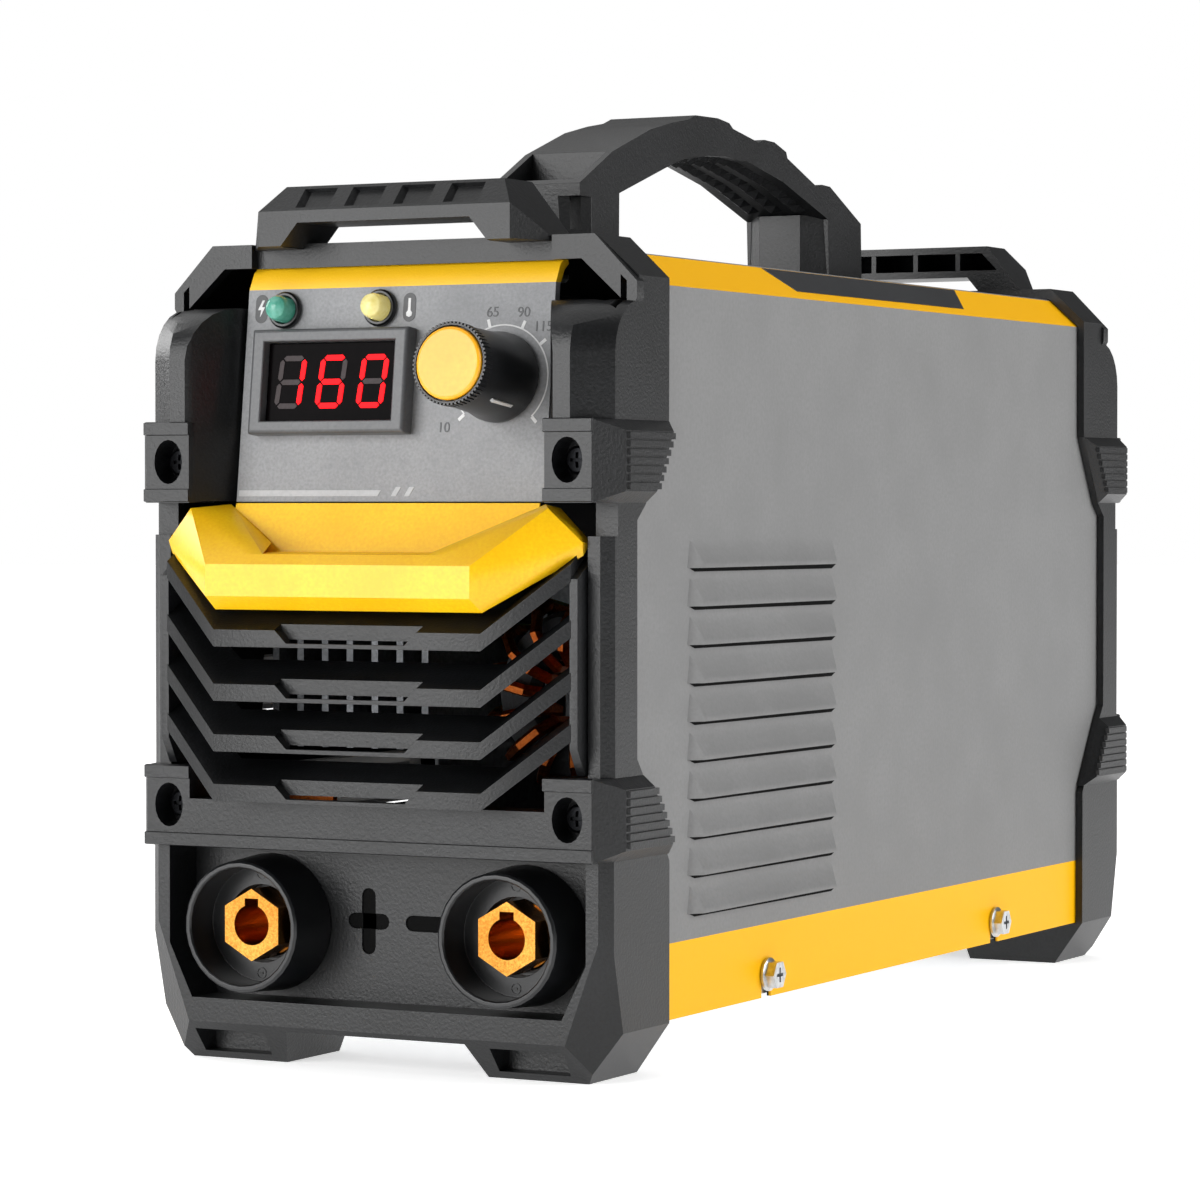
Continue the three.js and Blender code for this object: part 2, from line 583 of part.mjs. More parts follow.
function housingCover() {
  const end = FRAME_PLANE - COVER_START;
  const outer = prismXZ(mirroredX([[COVER_HALF, COVER_BOTTOM], [COVER_HALF, COVER_EDGE.z],
    [COVER_EDGE.x, COVER_TOP]]), -end, end);
  const inner = prismXZ(mirroredX([[COVER_HALF - SHEET, COVER_BOTTOM - 5],
    [COVER_HALF - SHEET, COVER_EDGE.z - 0.5],
    [COVER_EDGE.x - 0.5, COVER_TOP - SHEET]]), -end - 5, end + 5);
  const rows = Array.from({ length: LOUVRE.count }, (_, i) => LOUVRE.first - i * LOUVRE.pitch);
  const hoods = rows.flatMap((z) => [louvreHood(1, z, 0), louvreHood(-1, z, 0)]);
  const hollows = rows.flatMap((z) => [1, -1].flatMap((s) => [louvreHood(s, z, 0.8), louvreMouth(s, z)]));
  const slots = SIDE_SCREW_Y.map((y) => block(-80, 80, y - 3.4, y + 2.4, 10, SIDE_SCREW_Z + 2.4));
  const handleHoles = HANDLE.screws.map((y) => rod(2.3, 200, 220, 'z', 0, y + HANDLE.y, 16));
  const bandBack = FRAME_PLANE - BAND.far - 0.7;
  const roofNotches = [-1, 1].map((s) => block(-80, 80, Math.min(s * bandBack, s * (end + 5)),
    Math.max(s * bandBack, s * (end + 5)), 197, 230));
  return outer.subtract(inner).subtract(union(roofNotches)).add(union(hoods)).subtract(union(hollows))
    .subtract(union([...slots, ...handleHoles]));
}

function basePan() {
  const { half, reach, floor, side, end } = PAN;
  const plate = block(-half, half, -reach, reach, floor, floor + SHEET);
  const sides = bothSides((s) => sideBlock(s, half - SHEET, half, -reach, reach, floor + 1, side));
  const ends = [-1, 1].map((s) => block(-half, half, Math.min(s * (reach - SHEET), s * reach),
    Math.max(s * (reach - SHEET), s * reach), floor + 1, end));
  const holes = SIDE_SCREW_Y.map((y) => rod(2.3, -80, 80, 'x', y, SIDE_SCREW_Z, 16));
  return union([plate, sides, ...ends]).subtract(union(holes));
}

const handleOutline = [
  [-86.5, COVER_TOP + GAP], [-64.3, COVER_TOP + GAP], [-64, 235.1], [-34.8, 244.4], [-24.8, 247.4],
  [-8, 249.7],
  [4, 250.4], [18, 250], [43, 245.5], [75.4, 236.2], [76.5, COVER_TOP + GAP], [101, COVER_TOP + GAP],
  [100.2, 236.2], [77, 246.4], [71, 246.6], [69.6, 246.4], [68.8, 245.2], [46.2, 252.9],
  [45.2, 254.8], [37, 257.1],
  [30, 257.3], [26, 256.2], [8.6, 258.9], [6, 260.4], [-1.5, 261.2], [-16, 260.9], [-21, 259.2],
  [-30.7, 257.6],
  [-44.6, 254.6], [-68, 246.6], [-87.6, 236.5],
];

function carryHandle() {
  const bow = prismYZ(handleOutline, -HANDLE.half, HANDLE.half);
  const pocket = prismYZ([[-85, 224], [-67.5, 224], [-67.5, 251], [-85.2, 251]], -11.8, 11.8);
  const shelf = hull([-6.5, 6.5].flatMap((x) => [
    [x, -86, 234.4], [x, -86, 236.6], [x, -72.5, 238.6], [x, -72.5, 236.4],
  ]));
  const eyelet = block(-3.6, 3.6, -83, -76, 230, 242);
  const frontCheeks = (s) => prismXY([
    [s * 6.5, -95], [s * 6.5, -88], [s * 14.1, -80.6], [s * 20, -80.6], [s * 20, -95],
  ], 212, 233);
  const rearBow = hull([-1, 1].flatMap((s) => [COVER_TOP + GAP, 237.4].flatMap((z) => [
    [s * 14, 77, z], [s * 7, 70, z], [s * 14, 82, z],
  ])));
  const bores = HANDLE.screws.map((y) => rod(2.3, 205, 225, 'z', 0, y, 16));
  return bow.subtract(pocket).subtract(bothSides(frontCheeks)).add(shelf.subtract(eyelet)).add(rearBow)
    .subtract(union(bores));
}

// ---- the rear: fan, guard, switch and cable gland ----------------------------------
function fanFrame() {
  const half = FAN.size / 2;
  const box = block(-half, half, FAN.near, FAN.far, FAN.z - half, FAN.z + half)
    .subtract(rod(FAN.bore, FAN.near - 1, FAN.far + 1, 'y', 0, FAN.z, 40));
  const hub = rod(FAN.hub, FAN.far - 6, FAN.far, 'y', 0, FAN.z, 28);
  const strut = (x, z) => block(-x, x, FAN.far - 3.5, FAN.far, FAN.z - z, FAN.z + z);
  const holes = [-1, 1].flatMap((s) => [-1, 1].map((t) => rod(
    2.2, FAN.near - 1, FAN.far + 1, 'y', s * 41.2, FAN.z + t * 41.2, 14)));
  return box.add(hub).add(strut(43.6, 1.8)).add(strut(1.8, 43.6)).subtract(union(holes));
}

// Drawn about its own spindle, with z towards the rear of the machine.
function fanRotor() {
  const hub = turned([[0, -8], [15.5, -8], [17, -6.6], [17, 8], [0, 8]], 32);
  const blades = Array.from({ length: 7 }, (_, i) => {
    const base = 2 * Math.PI * i / 7;
    const corner = (radius, turn, z) => {
      const angle = base + THREE.MathUtils.degToRad(turn);
      return [radius * Math.cos(angle), radius * Math.sin(angle), z];
    };
    return hull([
      corner(16.4, -16, -6.5), corner(16.4, -12, -7), corner(16.4, 16, 6.5), corner(16.4, 12, 7),
      corner(41.4, -17, -5.2), corner(41.4, -14.5, -5.9), corner(41.4, 17, 5.2), corner(41.4, 14.5, 5.9),
    ]);
  });
  return hub.add(union(blades));
}

function fanGuard() {
  const rings = [12, 28.5, 45.5].map((r) => turned([[r - 1.2, 0.3], [r + 1.2, 0.3], [r + 1.2, 2.4],
    [r - 1.2, 2.4],
    [r - 1.2, 0.3]], 28));
  const bars = [0, 45, 90, 135].map((degrees) => block(-47.5, 47.5, -1.3, 1.3, 0.3, 1.9)
    .rotate([0, 0, degrees + 22.5]));
  return union([...rings, ...bars]);
}

function switchBody() {
  const flange = block(-16, 16, -12.8, 12.8, 0.3, 2.6);
  const body = block(-13.8, 13.8, -10.7, 10.7, -18, 0.5);
  return flange.add(body).subtract(block(-11.6, 11.6, -9, 9, -12, 9));
}

function switchRocker() {
  return prismYZ([[-7.6, 1.9], [-7.6, -3], [-4, -8], [4, -8], [7.6, -3], [7.6, 1.9],
    [0, -0.2]], -11.2, 11.2);
}

function cableGland() {
  const face = REAR_WALL.front + GLAND_REACH;
  const hex = rod(13, 0.3, 5.5, 'z', 0, 0, 6);
  const dome = turned([[0, 5.4], [10.8, 5.4], [10.8, 13.4], [10, 16.4], [8.2, face - 0.8],
    [6.6, face], [0, face]], 24);
  const thread = rod(7.9, -8, 0.4, 'z', 0, 0, 28);
  return union([hex, dome, thread]).subtract(rod(4.6, -9, 25, 'z', 0, 0, 24));
}

// ---- inside ------------------------------------------------------------------------
function boardBracket(side) {
  const section = [[61.2, 15.6], [62.4, 15.6], [62.4, 127.6], [54, 127.6], [54, 126.4], [61.2, 126.4]];
  const placed = section.map(([x, z]) => [side * x, z]);
  return prismXZ(side > 0 ? placed : placed.reverse(), -40, 60);
}

function mainBoard() {
  return block(-60, 60, -118, 122, 127.9, 129.5);
}

function heatSink(x0, x1, y0, y1) {
  const crown = block(x0, x1, y0, y1, 120.6, 126.1);
  const count = Math.floor((x1 - x0) / 6.4);
  const step = (x1 - x0 - 2) / (count - 1);
  const fins = Array.from({ length: count }, (_, i) => block(x0 + i * step, x0 + i * step + 2, y0,
    y1, 82, 121));
  return crown.add(union(fins));
}

function capacitor() {
  const radius = 12.4;
  return turned([[0, 129.8], [radius, 129.8], [radius, 133], [radius - 0.5, 133.8], [radius, 134.6],
    [radius, 173],
    [radius - 0.8, 174], [0, 174]], 22);
}

function transformerCore() {
  const window = (s) => sideBlock(s, 9, 21, 20, 60, 26, 58);
  return block(-31, 31, 25, 55, 15.6, 68).subtract(bothSides(window));
}

function transformerWinding() {
  return block(-20.6, 20.6, 14, 66, 26.5, 57.5).subtract(block(-9.4, 9.4, 24.6, 55.4, 20, 60));
}

function chokeCore() {
  return solid(new THREE.TorusGeometry(CHOKE.ring, CHOKE.section, 8, 24));
}

function chokeWinding() {
  const count = CHOKE.turns * CHOKE.steps;
  const points = Array.from({ length: count + 1 }, (_, i) => {
    const around = THREE.MathUtils.degToRad(330) * i / count;
    const loop = 2 * Math.PI * i / CHOKE.steps;
    const radius = CHOKE.ring + CHOKE.loop * Math.cos(loop);
    return new THREE.Vector3(radius * Math.cos(around), radius * Math.sin(around),
      CHOKE.loop * Math.sin(loop));
  });
  const path = new THREE.CatmullRomCurve3(points);
  const section = new THREE.Shape(arc(0, 0, CHOKE.wire, 0, 300, 5).map(([u,
    v]) => new THREE.Vector2(u, v)));
  return solid(new THREE.ExtrudeGeometry(section, { steps: count, bevelEnabled: false,
    extrudePath: path }));
}

function chokeBracket() {
  const back = CHOKE.y + 11.6;
  return block(26, 42, back, back + 1.2, 15.6, 112).add(block(26, 42, back + 1.1, back + 16, 15.6, 16.8));
}

// ---- assembly ----------------------------------------------------------------------
const machine = new THREE.Group();
machine.position.y = (CHIN_REACH - GLAND_REACH) / 2;

const front = new THREE.Group();
front.position.y = -FRAME_PLANE;
const rear = new THREE.Group();
rear.position.y = FRAME_PLANE;
rear.rotation.z = Math.PI;
machine.add(front, rear);

function place(parent, name, shape, material, position, rotation) {
  const mesh = meshOf(name, shape, material);
  if (position) mesh.position.set(...position);
  if (rotation) mesh.rotation.set(...rotation);
  parent.add(mesh);
}

const QUARTER = Math.PI / 2;

place(front, 'front_frame', frontFrame(), blackPlastic);
place(front, 'front_grille', frontGrille(), blackPlastic);
place(front, 'chin_guard', chinGuard(), yellowPlastic);

const panelGroup = onPanel(0, PANEL_FOOT.z);
front.add(panelGroup);
place(panelGroup, 'control_panel', controlPanel(), panelGrey);
place(panelGroup, 'control_board', block(-43, 43, 3, 55, -19.2, -17.6), boardGreen);

const meterGroup = onPanel(METER.x, METER.z);
front.add(meterGroup);
place(meterGroup, 'meter_bezel', meterBezel(), greyPlastic);
place(meterGroup, 'meter_window', block(-19.8, 19.8, -10.3, 10.3, 1.2, 2.4), darkGlass);
place(meterGroup, 'meter_module', block(-21.8, 21.8, -11.8, 11.8, -16, -0.2), blackPlastic);

const knobGroup = onPanel(KNOB.x, KNOB.z);
front.add(knobGroup);
place(knobGroup, 'knob_body', knobBody(), sleeveBlack);
place(knobGroup, 'knob_cap', knobCap(), yellowPlastic);
place(knobGroup, 'knob_shaft', rod(2.9, 5.4, 19, 'z', 0, 0, 20), zincSteel);
place(knobGroup, 'potentiometer', potentiometer(), zincSteel);

[['power_lamp', greenLens], ['heat_lamp', yellowLens]].forEach(([name, lens], i) => {
  const lampGroup = onPanel(LAMP_X[i], LAMP_Z);
  front.add(lampGroup);
  place(lampGroup, name, lampLens(), lens);
  place(lampGroup, `${name}_ring`, lampRing(), sleeveBlack);
});

[['positive', -1], ['negative', 1]].forEach(([name, side]) => {
  const socketGroup = new THREE.Group();
  socketGroup.position.set(side * SOCKET.x, 0, SOCKET.z);
  socketGroup.rotation.x = QUARTER;
  front.add(socketGroup);
  place(socketGroup, `socket_${name}_housing`, socketHousing(), sleeveBlack);
  place(socketGroup, `socket_${name}_insert`, socketInsert(), brass);
  place(socketGroup, `socket_${name}_nut`, socketNut(), brass);
  place(front, `busbar_${name}`, busbar(side), copper);
});

place(rear, 'rear_frame', rearFrame(), blackPlastic);
place(rear, 'fan_guard', fanGuard(), zincSteel, [0, REAR_WALL.front, FAN.z], [QUARTER, 0, 0]);
const switchAt = [-SWITCH.x, REAR_WALL.front, SWITCH.z];
place(rear, 'switch_body', switchBody(), sleeveBlack, switchAt, [QUARTER, 0, 0]);
const rockerTilt = THREE.MathUtils.degToRad(SWITCH.tilt);
place(rear, 'switch_rocker', switchRocker(), yellowPlastic, switchAt, [QUARTER + rockerTilt, 0, 0]);
place(rear, 'cable_gland', cableGland(), sleeveBlack, [-GLAND.x, REAR_WALL.front, GLAND.z],
  [QUARTER, 0, 0]);

[front, rear].forEach((end) => {
  [['left', -1], ['right', 1]].forEach(([hand, s]) => {
    [['lower', SCREW_Z[0]], ['upper', SCREW_Z[1]]].forEach(([level, z]) => {
      const where = end === front ? 'front' : 'rear';
      const named = end === front ? hand : { left: 'right', right: 'left' }[hand];
      place(end, `corner_screw_${where}_${level}_${named}`, panScrew(18), zincSteel, [s * SCREW_X, 7.7, z],
        [QUARTER, 0, 0]);
    });
  });
});

place(machine, 'housing_cover', housingCover(), greyPaint);
place(machine, 'base_pan', basePan(), zincSteel);
place(machine, 'carry_handle', carryHandle(), blackPlastic, [0, HANDLE.y, 0]);
['front', 'rear'].forEach((where, i) => {
  [['left', -1], ['right', 1]].forEach(([hand, s]) => {
    place(machine, `side_screw_${where}_${hand}`, flangeScrew(), zincSteel,
      [s * (COVER_HALF + GAP), SIDE_SCREW_Y[i], SIDE_SCREW_Z], [0, s * QUARTER, 0]);
  });
  place(machine, `handle_screw_${where}`, panScrew(11), zincSteel,
    [0, HANDLE.screws[i] + HANDLE.y, COVER_TOP - SHEET - GAP], [Math.PI, 0, 0]);
});

place(machine, 'fan_frame', fanFrame(), sleeveBlack);
place(machine, 'fan_rotor', fanRotor(), blackPlastic, [0, FAN.far - 14.6, FAN.z], [-QUARTER, 0, 0]);
place(machine, 'main_board', mainBoard(), boardGreen);
place(machine, 'board_bracket_left', boardBracket(-1), bareSteel);
place(machine, 'board_bracket_right', boardBracket(1), bareSteel);
place(machine, 'heat_sink_left', heatSink(-53, -4, -144, 96), aluminium);
place(machine, 'heat_sink_right', heatSink(4, 53, -96, 96), aluminium);
[-30, 20].forEach((y, i) => {
  place(machine, `bus_capacitor_${i + 1}`, capacitor(), sleeveBlack, [24, y, 0]);
});
place(machine, 'transformer_core', transformerCore(), ferrite);
place(machine, 'transformer_winding', transformerWinding(), copper);
place(machine, 'choke_core', chokeCore(), ferrite, [CHOKE.x, CHOKE.y, CHOKE.z], [QUARTER, 0, 0]);
place(machine, 'choke_winding', chokeWinding(), copper, [CHOKE.x, CHOKE.y, CHOKE.z], [QUARTER, 0, 0]);
place(machine, 'choke_bracket', chokeBracket(), bareSteel);

export default machine;
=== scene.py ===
import math

import bmesh
import bpy
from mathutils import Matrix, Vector


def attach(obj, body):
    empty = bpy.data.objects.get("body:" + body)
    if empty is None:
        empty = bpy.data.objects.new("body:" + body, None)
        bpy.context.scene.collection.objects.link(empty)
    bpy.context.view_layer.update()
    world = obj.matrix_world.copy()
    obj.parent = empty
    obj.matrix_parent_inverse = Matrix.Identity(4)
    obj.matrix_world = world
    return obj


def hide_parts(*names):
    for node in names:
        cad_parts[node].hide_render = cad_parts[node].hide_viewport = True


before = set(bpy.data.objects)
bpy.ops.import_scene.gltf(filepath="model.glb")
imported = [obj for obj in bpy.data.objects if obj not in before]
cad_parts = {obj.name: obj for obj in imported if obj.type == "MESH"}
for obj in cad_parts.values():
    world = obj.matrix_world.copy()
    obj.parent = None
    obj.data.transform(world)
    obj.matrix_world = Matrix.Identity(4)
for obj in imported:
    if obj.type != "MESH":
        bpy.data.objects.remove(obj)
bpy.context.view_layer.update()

scene = bpy.context.scene

# ---- Camera ----------------------------------------------------------------------------
# A long lens a little above the socket row, standing off the machine's front right corner.
# It looks almost level, so the upright edges stay upright.
camera_optics = bpy.data.cameras.new("studio_camera")
camera_optics.lens = 125.18
camera_optics.sensor_width = 36
camera = bpy.data.objects.new("studio_camera", camera_optics)
camera.location = (0.55861, -1.10472, 0.14782)
camera.rotation_euler = (math.radians(88.685), 0, math.radians(27.91))
scene.collection.objects.link(camera)
scene.camera = camera


# ---- Studio ----------------------------------------------------------------------------
# A matt white board lies under the machine, as in a product studio. It is a wide round
# sheet with a turned-down rim, sprayed white, and it only catches the contact shadow.
def srgb(code):
    """Turns an sRGB hex colour into the linear values that a shader takes."""
    channels = [int(code[i:i + 2], 16) / 255 for i in (1, 3, 5)]
    linear = [c / 12.92 if c <= 0.04045 else ((c + 0.055) / 1.055) ** 2.4 for c in channels]
    return (*linear, 1.0)


def add(tree, kind, inputs=None, **settings):
    """Adds a node with its own settings; an input is a value or another node's socket."""
    node = tree.nodes.new("ShaderNode" + kind)
    for name, value in settings.items():
        setattr(node, name, value)
    for name, value in (inputs or {}).items():
        if isinstance(value, bpy.types.NodeSocket):
            tree.links.new(value, node.inputs[name])
        else:
            node.inputs[name].default_value = value
    return node


def grained(name, dark, light, grain, relief, shader):
    """A finish whose colour and relief vary over a grain of the given size in mm."""
    material = bpy.data.materials.new(name)
    material.use_nodes = True
    tree = material.node_tree
    tree.nodes.clear()
    place = add(tree, "TexCoord").outputs["Object"]
    speck = add(tree, "TexNoise", {"Vector": place, "Scale": 1000 / grain, "Detail": 2.0})
    cloud = add(tree, "TexNoise", {"Vector": place, "Scale": 40.0, "Detail": 3.0})
    blend = add(tree, "Math", {0: speck.outputs["Fac"], 1: cloud.outputs["Fac"]},
                operation="MULTIPLY")
    tone = add(tree, "ValToRGB", {"Fac": blend.outputs[0]})
    tone.color_ramp.elements[0].position = 0.12
    tone.color_ramp.elements[0].color = srgb(dark)
    tone.color_ramp.elements[1].position = 0.38
    tone.color_ramp.elements[1].color = srgb(light)
    bump = add(tree, "Bump", {"Height": speck.outputs["Fac"], "Strength": 1.0,
                              "Distance": relief / 1000})
    surface = add(tree, "BsdfPrincipled", {"Base Color": tone.outputs["Color"],
                                           "Normal": bump.outputs["Normal"], **shader})
    add(tree, "OutputMaterial", {"Surface": surface.outputs["BSDF"]})
    return material


# Board sprayed matt white: even and dull, with only a trace of tooth.
# It is lit a little from below, so that the ground stays white round a soft shadow.
white_board = grained("sprayed_white_board", "#f4f4f4", "#fafafa", 2.0, 0.02,
                      {"Roughness": 0.9, "Emission Color": srgb("#ffffff"),
                       "Emission Strength": 0.62})
BOARD_RADIUS = 9.0
BOARD_RIM = 0.02
BOARD_STEPS = 96


def build_board():
    """Lays the round white board on the ground under the machine, with its rim turned down."""
    work = bmesh.new()
    turns = [math.tau * i / BOARD_STEPS for i in range(BOARD_STEPS)]
    top = [work.verts.new((BOARD_RADIUS * math.cos(a), BOARD_RADIUS * math.sin(a), 0))
           for a in turns]
    rim = [work.verts.new((v.co.x * 1.002, v.co.y * 1.002, -BOARD_RIM)) for v in top]
    work.faces.new(top)
    for i in range(BOARD_STEPS):
        j = (i + 1) % BOARD_STEPS
        work.faces.new((rim[i], rim[j], top[j], top[i]))
    mesh = bpy.data.meshes.new("studio_floor")
    work.to_mesh(mesh)
    work.free()
    mesh.materials.append(white_board)
    board = bpy.data.objects.new("studio_floor", mesh)
    scene.collection.objects.link(board)


build_board()


MACHINE_MIDDLE = Vector((0, 0, 0.13))


def softbox(name, aim, distance, size, watts):
    """Hangs a square softbox in the given direction, facing the middle of the machine."""
    lamp = bpy.data.lights.new(name, "AREA")
    lamp.shape = "SQUARE"
    lamp.size = size
    lamp.energy = watts
    holder = bpy.data.objects.new(name, lamp)
    direction = Vector(aim).normalized()
    holder.location = MACHINE_MIDDLE + direction * distance
    holder.rotation_euler = direction.to_track_quat("Z", "Y").to_euler()
    scene.collection.objects.link(holder)


# One box lights the front, one the right side and one the left. Distance and size are in
# metres.
softbox("front_softbox", (-0.40, -0.90, 0.22), distance=1.7, size=1.1, watts=21)
softbox("side_softbox", (0.93, 0.30, 0.30), distance=1.9, size=1.1, watts=21)
softbox("left_softbox", (-0.95, 0.22, 0.35), distance=2.2, size=1.0, watts=15)

overhead = bpy.data.lights.new("overhead_light", "SUN")
overhead.energy = 1.25
overhead.angle = math.radians(80)
overhead_holder = bpy.data.objects.new("overhead_light", overhead)
overhead_holder.rotation_euler = (math.radians(-12), math.radians(-14), 0)
scene.collection.objects.link(overhead_holder)

world = bpy.data.worlds.new("white_studio")
world.use_nodes = True
world.node_tree.nodes.clear()
seen = add(world.node_tree, "LightPath").outputs["Is Camera Ray"]
level = add(world.node_tree, "MapRange", {"Value": seen, "To Min": 0.1, "To Max": 1.0})
backdrop = add(world.node_tree, "Background", {"Color": srgb("#ffffff"),
                                               "Strength": level.outputs["Result"]})
add(world.node_tree, "OutputWorld", {"Surface": backdrop.outputs["Background"]})
scene.world = world
scene.view_settings.view_transform = "Standard"


# ---- End frames ------------------------------------------------------------------------
# The front and rear frames are deep one-piece mouldings that carry the cover, panel and
# sockets. They are black ABS from a spark-eroded tool, held by screws in the corner blocks.
FLAT_ANGLE = math.radians(0.8)
SHARP_ANGLE = math.radians(32)


def rounded(node, material, edge, body="machine"):
    """Copies a CAD node's shape, joins its flat faces and rounds its edges by edge mm."""
    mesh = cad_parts[node].data.copy()
    work = bmesh.new()
    work.from_mesh(mesh)
    bmesh.ops.remove_doubles(work, verts=work.verts, dist=2e-5)
    bmesh.ops.dissolve_limit(work, angle_limit=FLAT_ANGLE, verts=work.verts, edges=work.edges)
    work.to_mesh(mesh)
    work.free()
    if "custom_normal" in mesh.attributes:
        mesh.attributes.remove(mesh.attributes["custom_normal"])
    mesh.materials.clear()
    mesh.materials.append(material)
    mesh.shade_smooth()
    mesh.set_sharp_from_angle(angle=SHARP_ANGLE)
    piece = bpy.data.objects.new(node + "_finished", mesh)
    scene.collection.objects.link(piece)
    bevel = piece.modifiers.new("rounded_edges", "BEVEL")
    bevel.width = edge / 1000
    bevel.segments = 2
    bevel.limit_method = "ANGLE"
    bevel.angle_limit = SHARP_ANGLE
    bevel.use_clamp_overlap = True
    bevel.harden_normals = True
    flat = piece.modifiers.new("flat_faces", "WEIGHTED_NORMAL")
    flat.keep_sharp = True
    flat.weight = 100
    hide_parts(node)
    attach(piece, body)


# Black ABS with an eroded skin: a dull, faintly sparkling grain. The real grain is about
# 0.2 mm, drawn at 0.8 mm so that it shows.
black_abs = grained("black_abs_eroded", "#08090a", "#17181a", 0.8, 0.09,
                    {"Roughness": 0.38, "IOR": 1.48})
rounded("front_frame", black_abs, 0.5)
rounded("rear_frame", black_abs, 0.5)

# ---- Front grille ----------------------------------------------------------------------
# Four winged louvre bars of the same black ABS stand across the air inlet. They are
# moulded as one part and clipped in behind the frame.
rounded("front_grille", black_abs, 0.35)

# ---- Chin guard ------------------------------------------------------------------------
# A thick yellow bumper across the foot of the control panel, in moulded polypropylene.
# It snaps over the frame and takes the knocks.
# Polypropylene with a satin skin: soft even gloss and a very shallow grain.
yellow_pp = grained("yellow_polypropylene", "#f6ba00", "#ffcc12", 0.9, 0.02,
                    {"Roughness": 0.34, "IOR": 1.49, "Subsurface Weight": 0.05,
                     "Subsurface Scale": 0.002})
rounded("chin_guard", yellow_pp, 0.7)

# ---- Housing cover ---------------------------------------------------------------------
# One folded sheet of 1.2 mm steel makes both sides and the roof, with pressed louvres. It
# is powder-coated grey, with a yellow stripe along each roof bend and each lower edge.
STRIPE_TOP = 0.0334
BEND_LOW = 0.2046
BEND_HIGH = 0.2131
# The sheet's inner face is coloured near black, as painted shade inside the case. A point is on the
# outer face when it is past the middle of the sheet, at the side, the roof or the slope between
# them.
OUTER_HALF = 0.0664
OUTER_ROOF = 0.2128
BEND_DROP = 0.0088
BEND_RUN = 0.0096
BEND_TOP = (0.0574, 0.2134)
SHEET_HALF = 0.0006
OUTER_BEND = BEND_TOP[0] * BEND_DROP / BEND_RUN + BEND_TOP[1] - SHEET_HALF


def painted_cover():
    """Powder coat: a fine orange-peel skin, yellow where the two stripes are masked, and painted
    shade near black on the inner face.
    """
    material = grained("powder_coated_steel", "#7c7c7c", "#838383", 1.1, 0.03,
                       {"Roughness": 0.45, "IOR": 1.5, "Specular IOR Level": 0.15})
    tree = material.node_tree
    surface = next(n for n in tree.nodes if n.type == "BSDF_PRINCIPLED")
    grey = surface.inputs["Base Color"].links[0].from_socket
    place = add(tree, "TexCoord").outputs["Object"]
    axes = add(tree, "SeparateXYZ", {"Vector": place})
    height, across = axes.outputs["Z"], axes.outputs["X"]
    low = add(tree, "Math", {0: height, 1: STRIPE_TOP}, operation="LESS_THAN")
    over = add(tree, "Math", {0: height, 1: BEND_LOW}, operation="GREATER_THAN")
    under = add(tree, "Math", {0: height, 1: BEND_HIGH}, operation="LESS_THAN")
    bend = add(tree, "Math", {0: over.outputs[0], 1: under.outputs[0]}, operation="MULTIPLY")
    striped = add(tree, "Math", {0: low.outputs[0], 1: bend.outputs[0]}, operation="ADD")
    painted = add(tree, "Mix", {"Factor": striped.outputs[0], 6: grey, 7: srgb("#fbb900")},
                  data_type="RGBA")
    half = add(tree, "Math", {0: across}, operation="ABSOLUTE").outputs[0]
    slope = add(tree, "Math", {0: half, 1: BEND_DROP / BEND_RUN, 2: height},
                operation="MULTIPLY_ADD")
    faces = [(half, OUTER_HALF), (height, OUTER_ROOF), (slope.outputs[0], OUTER_BEND)]
    tests = [add(tree, "Math", {0: value, 1: limit}, operation="GREATER_THAN").outputs[0]
             for value, limit in faces]
    either = add(tree, "Math", {0: tests[0], 1: tests[1]}, operation="MAXIMUM").outputs[0]
    outside = add(tree, "Math", {0: either, 1: tests[2]}, operation="MAXIMUM").outputs[0]
    # Painted shade: every point not on the outer face is coloured near black.
    shaded_inside = add(tree, "Mix", {"Factor": outside, 6: srgb("#0b0b0c"), 7: painted.outputs[2]},
                 data_type="RGBA")
    tree.links.new(shaded_inside.outputs[2], surface.inputs["Base Color"])
    return material


rounded("housing_cover", painted_cover(), 0.3)


def raised(name, outlines, low, high, place, material, body="machine", edge=0.06):
    """Makes one piece of flat shapes, each from low to high mm off the surface of place."""
    work = bmesh.new()
    for outline in outlines:
        foot = [work.verts.new(place(u, v, low)) for u, v in outline]
        top = [work.verts.new(place(u, v, high)) for u, v in outline]
        work.faces.new(top)
        work.faces.new(foot[::-1])
        for i in range(len(outline)):
            j = (i + 1) % len(outline)
            work.faces.new((foot[i], foot[j], top[j], top[i]))
    bmesh.ops.recalc_face_normals(work, faces=work.faces)
    mesh = bpy.data.meshes.new(name)
    work.to_mesh(mesh)
    work.free()
    mesh.materials.append(material)
    piece = bpy.data.objects.new(name, mesh)
    scene.collection.objects.link(piece)
    bevel = piece.modifiers.new("soft_rim", "BEVEL")
    bevel.width = edge / 1000
    bevel.segments = 1
    bevel.limit_method = "ANGLE"
    bevel.angle_limit = math.radians(50)
    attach(piece, body)


COVER_SIDE_X = 67.0


def on_side(side):
    """Gives points on a flat side of the cover: u mm along the machine, at height v mm."""
    return lambda u, v, w: Vector((side * (COVER_SIDE_X + w), u, v)) / 1000
